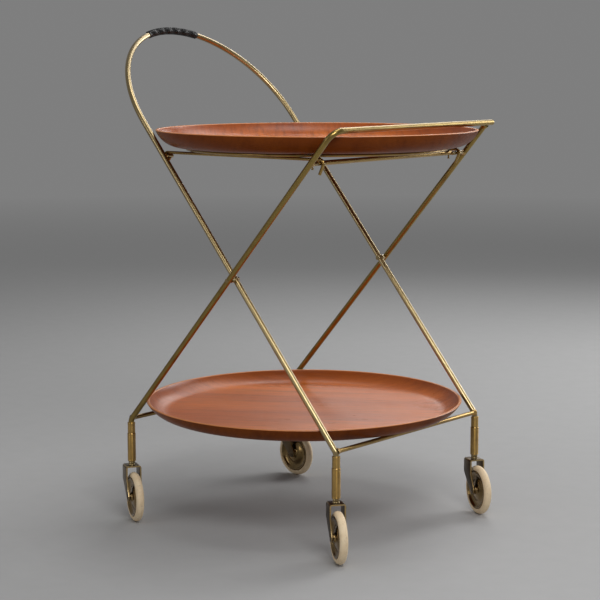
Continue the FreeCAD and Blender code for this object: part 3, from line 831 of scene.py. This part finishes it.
rail_leg = leg_corners("rail_frame", "rear_near", rail_top)
out = across * LEG_Y["rail_frame"]
rail_tip = rail_top + out + across * RAIL_OVERHANG
near_line = rounded([corner - out for corner in rail_leg] + [rail_tip], (FOOT_BEND, RAIL_BEND))
far_line = rounded([corner + out for corner in rail_leg], (FOOT_BEND,))
rail = swept([near_line, far_line], ROD_RADIUS, rail_brass)
new_piece("rail_rod", rail, "rail_frame", ["rail_frame"])
print("arch faces:", len(arch.polygons), "rail faces:", len(rail.polygons))

# %% [markdown]
# The carrier under the upper tray is thinner rod: a ring, and two stays that curl into an eye at one
# end and into an open hook at the other. Both curls go round the stubs on the frames, so the stubs'
# middles give the middles of the arcs.

# %% Ring and stays
STAY_RADIUS = 0.00225
CURL_RADIUS = 0.0053
EYE_SWEEP = 250.0
HOOK_SWEEP = 115.0
HOOK_TAIL = 0.014
CURL_STEP = 8.0
RING_POINTS = 144
STAY_SIDES = 16


def curl(middle, y, start, end):
    """Points of an arc round a stub, angles from straight ahead upwards."""
    steps = math.ceil(abs(end - start) / CURL_STEP)
    points = []
    for step in range(steps + 1):
        angle = math.radians(start + (end - start) * step / steps)
        x, z = CURL_RADIUS * math.cos(angle), CURL_RADIUS * math.sin(angle)
        points.append(Vector((middle.x + x, y, middle.z + z)))
    return points


def middle_of(name):
    low, high = (Vector(corner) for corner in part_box(name))
    return (low + high) / 2


for side in SIDES:
    y = middle_of("stay_" + side).y
    eye = curl(middle_of("arch_stub_" + side), y, 90 + EYE_SWEEP, 90)
    hook = curl(middle_of("rail_stub_" + side), y, 90, 90 - HOOK_SWEEP)
    slope = math.radians(90 - HOOK_SWEEP)
    tail = hook[-1] + Vector((math.sin(slope), 0, -math.cos(slope))) * HOOK_TAIL
    line = eye[:-1] + straight(eye[-1], hook[0]) + hook[:-1] + straight(hook[-1], tail) + [tail]
    stay = swept([line], STAY_RADIUS, carrier_brass, sides=STAY_SIDES)
    new_piece("stay_rod_" + side, stay, "tray_carrier", ["stay_" + side])
ring_middle = middle_of("tray_ring")
ring_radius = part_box("tray_ring")[1][1] - STAY_RADIUS
circle = []
for index in range(RING_POINTS):
    angle = math.tau * index / RING_POINTS
    circle.append(ring_middle + Vector((math.cos(angle), math.sin(angle), 0)) * ring_radius)
ring = swept([circle], STAY_RADIUS, carrier_brass, closed=True, sides=STAY_SIDES)
new_piece("ring_rod", ring, "tray_carrier", ["tray_ring"])
print("ring radius:", round(ring_radius, 4), "stay faces:", len(stay.polygons))

# %% [markdown]
# The grip is one black cord wound tightly round the top of the arch. A Spiral curve makes the
# winding round a straight line. The tree then bends it: how far a point lies along the line
# becomes an angle round the arch's middle, and a round section is swept along the bent curve.

# %% Node tree for the wound grip
GRIP_TURNS = 37
GRIP_LENGTH = 0.110
GRIP_RADIUS = 0.0057
CORD_RADIUS = 0.0011
STEPS_PER_TURN = 20
CORD_SIDES = 8


def winding_tree():
    sizes = ("Turns", "Length", "Coil Radius", "Cord Radius", "Arch Radius")
    inputs = {name: "NodeSocketFloat" for name in sizes}
    inputs.update({"Steps": "NodeSocketInt", "Finish": "NodeSocketMaterial"})
    tree, given = new_tree("wound cord", inputs)
    coil = given["Coil Radius"]
    spiral = add(tree, "GeometryNodeCurveSpiral", Resolution=given["Steps"], Rotations=given["Turns"],
                 Start_Radius=coil, End_Radius=coil, Height=given["Length"]).outputs[0]
    position = tree.nodes.new("GeometryNodeInputPosition").outputs[0]
    parts = add(tree, "ShaderNodeSeparateXYZ", Vector=position).outputs
    middle = sums(tree, "SUBTRACT", parts["Z"], sums(tree, "MULTIPLY", given["Length"], 0.5))
    angle = sums(tree, "DIVIDE", middle, given["Arch Radius"])
    outward = sums(tree, "ADD", given["Arch Radius"], parts["X"])
    ahead = sums(tree, "MULTIPLY", outward, sums(tree, "COSINE", angle))
    aside = sums(tree, "MULTIPLY", outward, sums(tree, "SINE", angle))
    bent = add(tree, "ShaderNodeCombineXYZ", X=ahead, Y=aside, Z=parts["Y"]).outputs[0]
    path = add(tree, "GeometryNodeSetPosition", Geometry=spiral, Position=bent).outputs[0]
    section = add(tree, "GeometryNodeCurvePrimitiveCircle", Resolution=CORD_SIDES,
                  Radius=given["Cord Radius"]).outputs[0]
    cord = add(tree, "GeometryNodeCurveToMesh", Curve=path, Profile_Curve=section,
               Fill_Caps=True).outputs[0]
    end_tree(tree, cord, given["Finish"])
    return tree


arch_place = Matrix((up_arch, across, up_arch.cross(across))).transposed().to_4x4()
arch_place.translation = pivot + up_arch * ARCH_STRAIGHT
wound = made_by(winding_tree(), bpy.data.meshes.new("empty"), {
    "Turns": float(GRIP_TURNS), "Length": GRIP_LENGTH, "Coil Radius": GRIP_RADIUS - CORD_RADIUS,
    "Cord Radius": CORD_RADIUS, "Arch Radius": ARCH_RADIUS, "Steps": STEPS_PER_TURN, "Finish": black_cord})
tidy_mesh(wound, arch_place)
new_piece("grip_cord", wound, "arch_frame", ["grip_wrap"])
print("grip turns:", GRIP_TURNS, "faces:", len(wound.polygons))

# %% [markdown]
# Rods that meet are brazed: a little metal flows into the corner and leaves a smooth flare. Cut
# ends are filed round. Both repeat in many places, so a tree sets one small turned shape on every
# point of a mesh, aimed along a direction stored on that point. One mesh is made for each body.


# %% Node tree that sets a shape on points
def setting_tree():
    inputs = {"Shape": "NodeSocketObject", "Finish": "NodeSocketMaterial"}
    tree, given = new_tree("shape on points", inputs)
    way = add(tree, "GeometryNodeInputNamedAttribute", {"data_type": "FLOAT_VECTOR"}, Name="way").outputs[0]
    aimed = add(tree, "FunctionNodeAlignRotationToVector", {"axis": "Z"}, Vector=way).outputs[0]
    shape = add(tree, "GeometryNodeObjectInfo", Object=given["Shape"]).outputs["Geometry"]
    placed = add(tree, "GeometryNodeInstanceOnPoints", Points=given["Geometry"], Instance=shape,
                 Rotation=aimed).outputs[0]
    end_tree(tree, placed, given["Finish"])
    return tree


SETTING = setting_tree()
FLARE_SEGMENTS = 20


def set_on(spots, outline, finish, segments=FLARE_SEGMENTS):
    """One mesh of a turned shape set on (place, direction) spots."""
    points = bpy.data.meshes.new("spots")
    points.from_pydata([place for place, way in spots], [], [])
    ways = points.attributes.new("way", "FLOAT_VECTOR", "POINT")
    for item, (place, way) in zip(ways.data, spots):
        item.vector = way
    mould = turned(millimetres(outline), finish, Matrix.Identity(4), segments)
    shape = bpy.data.objects.new("shape", mould)
    bpy.context.scene.collection.objects.link(shape)
    mesh = made_by(SETTING, points, {"Shape": shape, "Finish": finish})
    bpy.data.objects.remove(shape)
    tidy_mesh(mesh, Matrix.Identity(4))
    return mesh


print("tree made:", SETTING.name)

# %% [markdown]
# Each lower bar is brazed to its frame's legs at both ends, and each stub at its outer end, while
# its inner end is filed. The rail gets one flare where its far leg meets it, and a filed tip.

# %% Brazed flares and filed ends
BAR_FLARE = ((3.2, 7.5), (3.35, 6.9), (3.6, 5.6), (4.1, 4.6), (4.7, 3.6), (4.7, 0.5))
STUB_FLARE = ((2.7, 7.0), (3.1, 6.2), (3.5, 5.2), (4.0, 4.2), (4.0, 0.5))
FILED_ROD = ((4.25, 0.0), (4.15, 0.7), (3.7, 1.4), (2.6, 2.0), (0.0, 2.2))
LEG_FLARE = ((4.2, 11.0), (4.5, 8.8), (5.0, 7.0), (5.4, 5.6), (5.4, 3.5))
FILED_STUB = ((2.7, 0.0), (2.55, 0.5), (2.0, 0.95), (1.1, 1.2), (0.0, 1.25))


def rod_ends(name):
    """Middle points of the two ends of a rod that lies across the trolley."""
    low, high = (Vector(corner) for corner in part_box(name))
    x, z = (low.x + high.x) / 2, (low.z + high.z) / 2
    return Vector((x, low.y, z)), Vector((x, high.y, z))


for body, bar, stub in (
    ("arch_frame", "lower_bar_front", "arch_stub_"),
    ("rail_frame", "lower_bar_rear", "rail_stub_"),
):
    near, far = rod_ends(bar)
    near.y, far.y = -LEG_Y[body], LEG_Y[body]
    flares = set_on([(near, across), (far, -across)], BAR_FLARE, socket_brass)
    new_piece(bar + "_braze", flares, body)
    stub_ends = [rod_ends(stub + side) for side in SIDES]
    roots = [(stub_ends[0][0], across), (stub_ends[1][1], -across)]
    new_piece(stub + "braze", set_on(roots, STUB_FLARE, socket_brass), body)
    tips = [(stub_ends[0][1], across), (stub_ends[1][0], -across)]
    new_piece(stub + "tips", set_on(tips, FILED_STUB, carrier_brass), body)
    print(body, "brazed and filed:", bar, stub)
tip = set_on([(rail_tip, across)], FILED_ROD, rail_brass, ROD_SIDES)
new_piece("rail_tip", tip, "rail_frame")
down_leg = (rail_leg[1] - rail_top).normalized()
far_top = rail_top + across * LEG_Y["rail_frame"]
butt = set_on([(far_top, down_leg)], LEG_FLARE, rail_brass, ROD_SIDES)
new_piece("rail_braze", butt, "rail_frame")
print("rail tip faces:", len(tip.polygons), "rail braze faces:", len(butt.polygons))

# %% [markdown]
# The floor is a wide pale disc. Far from the trolley it fades into the colour of the surroundings,
# so no horizon shows, and near it keeps the trolley's soft shadow.

# %% Floor and surroundings
SURROUND = rgb(0.21, 0.21, 0.21)
FLOOR_DARK, FLOOR_PALE = rgb(0.4, 0.4, 0.4), rgb(0.43, 0.43, 0.43)
FLOOR_RADIUS = 9.0
FADE_START, FADE_END = 1.6, 6.0


def floor_finish():
    finish, tree, shader, place = new_finish("studio_floor")
    grain = noise(tree, place, 30.0, 3.0)
    colour = mixed(tree, grain, FLOOR_DARK, FLOOR_PALE)
    tree.links.new(colour, shader.inputs["Base Color"])
    shader.inputs["Roughness"].default_value = 0.8
    shader.inputs["Specular IOR Level"].default_value = 0.15
    away = add(tree, "ShaderNodeVectorMath", {"operation": "LENGTH"}).outputs["Value"]
    tree.links.new(place, away.node.inputs[0])
    share = ramp(tree, away, FADE_START, FADE_END)
    plain = add(tree, "ShaderNodeEmission", Color=SURROUND).outputs[0]
    faded = tree.nodes.new("ShaderNodeMixShader")
    for index, value in enumerate((share, shader.outputs[0], plain)):
        fill(tree, faded.inputs[index], value)
    tree.links.new(faded.outputs[0], tree.nodes["Material Output"].inputs["Surface"])
    return finish


floor_mesh = bpy.data.meshes.new("floor")
disc = bmesh.new()
bmesh.ops.create_circle(disc, cap_ends=True, segments=ROUND_SEGMENTS, radius=FLOOR_RADIUS)
disc.to_mesh(floor_mesh)
disc.free()
floor_mesh.materials.append(floor_finish())
floor = bpy.data.objects.new("floor", floor_mesh)
bpy.context.scene.collection.objects.link(floor)

world = bpy.data.worlds.new("surroundings")
bpy.context.scene.world = world
world.use_nodes = True
background = world.node_tree.nodes["Background"]
background.inputs["Color"].default_value = SURROUND
background.inputs["Strength"].default_value = 1.0
print("floor radius:", FLOOR_RADIUS, "surroundings:", SURROUND)

# %% [markdown]
# Polished rod shows what stands around it, so large soft lamps matter more than their number. One
# lights the front from the right and a tall weak one the left. Three stand behind: a wide window
# that draws bright lines along the rods, a small one whose reflection lies on the lower tray, and
# one higher up. The last hangs overhead.


# %% Lamps
LAMP_AIM = Vector((0.0, 0.0, 0.45))
LAMPS = (
    ("front", (1.25, -1.0, 1.5), (0.8, 0.55), 15.0),
    ("side", (-0.6, -2.3, 0.9), (0.5, 1.3), 4.5),
    ("window", (0.8, 2.5, 1.1), (1.4, 1.2), 30.0),
    ("back", (-1.35, 2.25, 1.3), (0.8, 0.6), 4.0),
    ("behind", (-0.4, 1.7, 2.1), (1.7, 0.8), 14.0),
    ("overhead", (0.5, 0.1, 2.7), (1.1, 1.1), 15.0),
)
for name, place, size, power in LAMPS:
    data = bpy.data.lights.new(name, "AREA")
    data.shape = "RECTANGLE"
    data.size, data.size_y = size
    data.energy = power
    lamp = bpy.data.objects.new(name, data)
    lamp.location = place
    lamp.rotation_euler = (LAMP_AIM - Vector(place)).to_track_quat("-Z", "Y").to_euler()
    bpy.context.scene.collection.objects.link(lamp)
bpy.context.scene.view_settings.view_transform = "Standard"
print("lamps:", [name for name, place, size, power in LAMPS])
